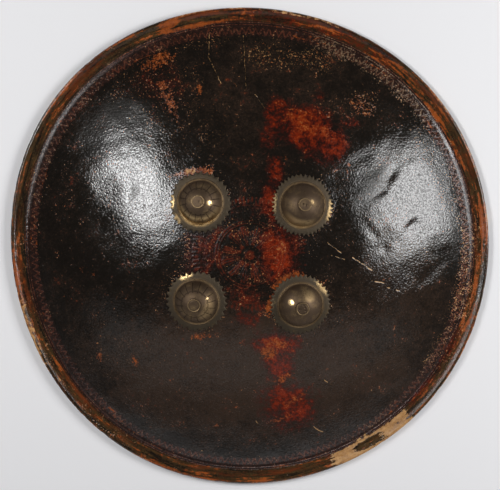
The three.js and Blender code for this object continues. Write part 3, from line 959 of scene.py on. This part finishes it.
def rivet_profile(hide, boss):
    """From the middle of the peened tail, up the shank and over the head."""
    base = boss.gap + boss.sheet + boss.rise + boss.gap
    top = base + boss.head_height
    tail_top = washer_top(hide, boss) - boss.washer_thickness - boss.gap
    tail = [(boss.tail * math.sin(a), tail_top - boss.tail_height * (0.15 + 0.85 * math.cos(a)))
            for a in stepped(0, math.pi / 2, 0.16)]
    head = [(boss.head - 0.3 * MM, base), (boss.head, base + 0.3 * MM), (boss.head, top - 0.5 * MM)]
    head += [(boss.head - 0.15 * MM, top - 0.15 * MM)]
    face = [(out, top) for out in stepped(boss.head - 0.5 * MM, 0, 0.3 * MM)]
    shank = [(boss.tail, tail_top), (boss.shank, tail_top), (boss.shank, base)]
    return tail + shank + head + face + [(0, top)]


def shape_rivet(piece, hide, boss, corner):
    """Chases a ring and small dots into the head and leaves hammer marks on the tail."""
    seed, ring_depth, dot_depth = BOSSES[corner][2:]
    places = points_of(piece)
    out, around = np.hypot(places[:, 0], places[:, 1]), np.arctan2(places[:, 1], places[:, 0])
    top = 2 * boss.gap + boss.sheet + boss.rise + boss.head_height
    on_head = (places[:, 2] > top - 0.1 * MM) & (out < boss.head - 0.4 * MM)
    random = np.random.default_rng(seed)
    chased = ring_depth * ridge(out - HEAD_RING, HEAD_RING_HALF_WIDTH)
    for _ in range(HEAD_DOTS):
        x, y = random.normal(0, HEAD_DOT_SPREAD, 2)
        dot = ridge(np.hypot(places[:, 0] - x, places[:, 1] - y), random.uniform(0.8, 1.6) * MM)
        chased = np.maximum(chased, dot_depth * dot)
    places[:, 2] -= MM * chased * on_head
    on_tail = places[:, 2] < washer_top(hide, boss) - boss.washer_thickness - boss.gap - 0.2 * MM
    places[:, 2] += 0.12 * MM * (1 + ripples(places[:, 0], places[:, 1], 0.005, seed)) * on_tail
    paint(piece, "groove", chased / 0.4 * on_head)
    paint(piece, "shine", 0.35 * on_head * ridge(out - 6.2 * MM, 1.2 * MM))
    paint(piece, "out", out)
    move_points(piece, places)


class DHAL_OT_rivets(bpy.types.Operator):
    """Model the four rivets with their chased heads and peened tails"""
    bl_idname = "dhal.rivets"
    bl_label = "Rivets"

    def execute(self, context):
        hide, boss = context.scene.dhal_hide, context.scene.dhal_boss
        brass = brass_material("peened_brass", context.scene.dhal_brass_colours, boss.washer, 0.52)
        for corner, (turn, lean) in boss_axes(hide).items():
            piece = spun(f"brass_rivet_{corner}", rivet_profile(hide, boss), 96)
            shape_rivet(piece, hide, boss, corner)
            dress_at(piece, seat_of(hide, turn, lean), brass, f"rivet_{corner}")
        return {"FINISHED"}


def washer_profile(hide, boss):
    """Round the section of the washer, with its edges eased."""
    top = washer_top(hide, boss)
    bottom = top - boss.washer_thickness
    hole, edge, ease = boss.shank + boss.gap, boss.washer, 0.25 * MM
    return [
        (hole + ease, bottom), (boss.tail + ease, bottom), (edge - 3 * ease, bottom),
        (edge - ease, bottom + 0.3 * ease), (edge, bottom + ease), (edge, top - ease), (edge - ease, top),
        (hole + ease, top), (hole, top - ease), (hole, bottom + ease), (hole + ease, bottom)]


class DHAL_OT_washers(bpy.types.Operator):
    """Model the four washers inside the shield"""
    bl_idname = "dhal.washers"
    bl_label = "Washers"

    def execute(self, context):
        hide, boss = context.scene.dhal_hide, context.scene.dhal_boss
        brass = brass_material("cut_sheet_brass", context.scene.dhal_brass_colours, boss.washer * 0.8, 0.55)
        for corner, (turn, lean) in boss_axes(hide).items():
            piece = spun(f"brass_washer_{corner}", washer_profile(hide, boss), 72)
            places = points_of(piece)
            out = np.hypot(places[:, 0], places[:, 1])
            paint(piece, "out", out)
            paint(piece, "groove", ridge(out - boss.tail, 0.8 * MM))
            dress_at(piece, seat_of(hide, turn, lean), brass, f"washer_{corner}")
        return {"FINISHED"}


# Stage
def floor_material(studio):
    """Matt painted board, pale and plain."""
    material, tree, shader = new_material("pale_board")
    shader.inputs["Base Color"].default_value = studio.floor
    shader.inputs["Roughness"].default_value = 0.9
    return material


def softbox(name, toward, width, height, turn, radiance):
    """A soft rectangular light that faces the shield from a direction, turned about its own axis."""
    data = bpy.data.lights.new(name, "AREA")
    data.shape = "RECTANGLE"
    data.size, data.size_y = width, height
    data.energy = radiance * math.pi * width * height
    light = bpy.data.objects.new(name, data)
    light.location = Vector(toward).normalized() * LIGHT_DISTANCE
    facing = Vector(toward).to_track_quat("Z", "Y").to_matrix() @ Matrix.Rotation(math.radians(turn), 3, "Z")
    light.rotation_euler = facing.to_euler()
    light.visible_camera = False
    bpy.context.scene.collection.objects.link(light)


def room_light(strength):
    """A dim room overhead and pale walls low down, palest in front of the shield."""
    world = bpy.data.worlds.new("room")
    world.use_nodes = True
    tree = world.node_tree
    tree.nodes.clear()
    direction = add_node(tree, "ShaderNodeTexCoord").outputs["Generated"]
    level = calc(tree, "ADD", vector_calc(tree, "DOT_PRODUCT", direction, (0, 0.45, 0.9))["Value"], 0.4)
    ramp = add_node(tree, "ShaderNodeValToRGB", {"Fac": level})
    stops = ramp.color_ramp.elements
    stops[0].position, stops[1].position = 0.14, 0.8
    stops[0].color, stops[1].color = linear("#e2e2e4"), linear("#3c393a")
    stops.new(0.42).color = linear("#5a595b")
    back = add_node(tree, "ShaderNodeBackground", {"Color": ramp.outputs["Color"], "Strength": strength})
    add_node(tree, "ShaderNodeOutputWorld", {"Surface": back.outputs[0]})
    bpy.context.scene.world = world


class DHAL_OT_stage(bpy.types.Operator):
    """Lay the floor and set the camera and the lights"""
    bl_idname = "dhal.stage"
    bl_label = "Stage"

    def execute(self, context):
        studio = context.scene.dhal_studio
        deselect()
        bpy.ops.mesh.primitive_plane_add(size=FLOOR_SIZE, location=(0, 0, 0))
        floor = context.object
        floor.name = "floor"
        floor.data.materials.append(floor_material(studio))
        back = Vector((0, math.sin(studio.tilt), math.cos(studio.tilt)))
        data = bpy.data.cameras.new("camera")
        data.lens = studio.lens
        data.sensor_width = SENSOR_WIDTH
        camera = bpy.data.objects.new("camera", data)
        camera.location = Vector((0, studio.aim, LIP_HEIGHT)) + back * studio.distance
        camera.rotation_euler = (-studio.tilt, 0, 0)
        context.scene.collection.objects.link(camera)
        context.scene.camera = camera
        softboxes = (
            ("left", (-0.554, 0.226, 0.801), 0.37, 0.67, -43),
            ("right", (0.775, 0.130, 0.618), 0.76, 0.70, 12),
            ("fill", (-0.613, 0.42, 0.67), 0.40, 0.36, 0),
            ("front", (0, -0.64, 0.77), 3.4, 0.6, 0))
        for side, toward, width, height, turn in softboxes:
            softbox(f"softbox_{side}", toward, width, height, turn, getattr(studio, side))
        room_light(studio.sky)
        context.scene.view_settings.view_transform = "Standard"
        return {"FINISHED"}


class DHAL_PT_build(bpy.types.Panel):
    """Lists the steps of the build"""
    bl_label = "Dhal"
    bl_idname = "DHAL_PT_build"
    bl_space_type = "VIEW_3D"
    bl_region_type = "UI"
    bl_category = "Dhal"

    def draw(self, context):
        for operator in STEPS:
            self.layout.operator(operator.bl_idname)


GROUPS = {
    "dhal_hide": HideSizes,
    "dhal_roundel": RoundelSizes,
    "dhal_boss": BossSizes,
    "dhal_hide_colours": HideColours,
    "dhal_brass_colours": BrassColours,
    "dhal_studio": StudioSettings,
}
STEPS = (DHAL_OT_stage, DHAL_OT_hide, DHAL_OT_bosses, DHAL_OT_rivets, DHAL_OT_washers)


def register():
    for name, group in GROUPS.items():
        bpy.utils.register_class(group)
        setattr(bpy.types.Scene, name, PointerProperty(type=group))
    for step in STEPS + (DHAL_PT_build,):
        bpy.utils.register_class(step)


def unregister():
    for step in (DHAL_PT_build,) + STEPS[::-1]:
        bpy.utils.unregister_class(step)
    for name, group in GROUPS.items():
        delattr(bpy.types.Scene, name)
        bpy.utils.unregister_class(group)


def main():
    register()
    bpy.ops.dhal.stage()
    bpy.ops.dhal.hide()
    bpy.ops.dhal.bosses()
    bpy.ops.dhal.rivets()
    bpy.ops.dhal.washers()


if __name__ == "__main__":
    main()
